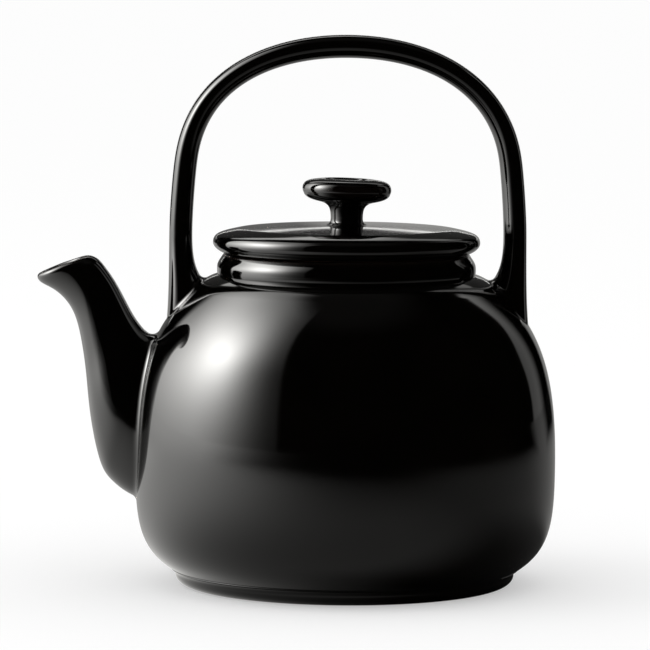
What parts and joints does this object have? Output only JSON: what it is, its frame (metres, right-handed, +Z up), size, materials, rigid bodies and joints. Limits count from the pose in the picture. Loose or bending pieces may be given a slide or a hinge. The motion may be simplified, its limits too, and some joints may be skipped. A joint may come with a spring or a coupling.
{
  "type": "teapot",
  "caption": "Round-bellied glazed stoneware teapot with an arched overhead handle, a side spout with a pierced strainer inside, and a loose domed lid that lifts off.",
  "frame": {"origin": "middle of the footprint, on the surface that the pot stands on; the pot's own axis is 20.15 mm along +X from it", "axes": "+Z up along the pot's axis, -X towards the spout's lip, Y across the handle"},
  "size_m": [0.2102, 0.17, 0.2222],
  "materials": {
    "glazed_body": "glossy black glaze on stoneware",
    "foot_clay": "dark iron stoneware, glazed on its side and bare underneath",
    "glazed_spout": "glossy black glaze on stoneware",
    "glazed_inside": "glossy black glaze on stoneware",
    "glazed_handle": "glossy black glaze on stoneware",
    "glazed_lid": "glossy black glaze on stoneware",
    "flange_clay": "bare dark iron stoneware",
    "glazed_knob": "glossy black glaze on stoneware"
  },
  "bodies": {
    "pot": {"body_shell": "glazed_body", "foot_ring": "foot_clay", "neck_collar": "glazed_body", "spout": "glazed_spout", "spout_strainer": "glazed_inside", "overhead_handle": "glazed_handle"},
    "lid": {"lid_plate": "glazed_lid", "lid_flange": "flange_clay", "lid_knob": "glazed_knob"}
  },
  "joints": [
    {"name": "lid_lift", "type": "slide", "parent": "pot", "child": "lid", "axis": [0, 0, 1], "range_m": [0, 0.04]}
  ]
}
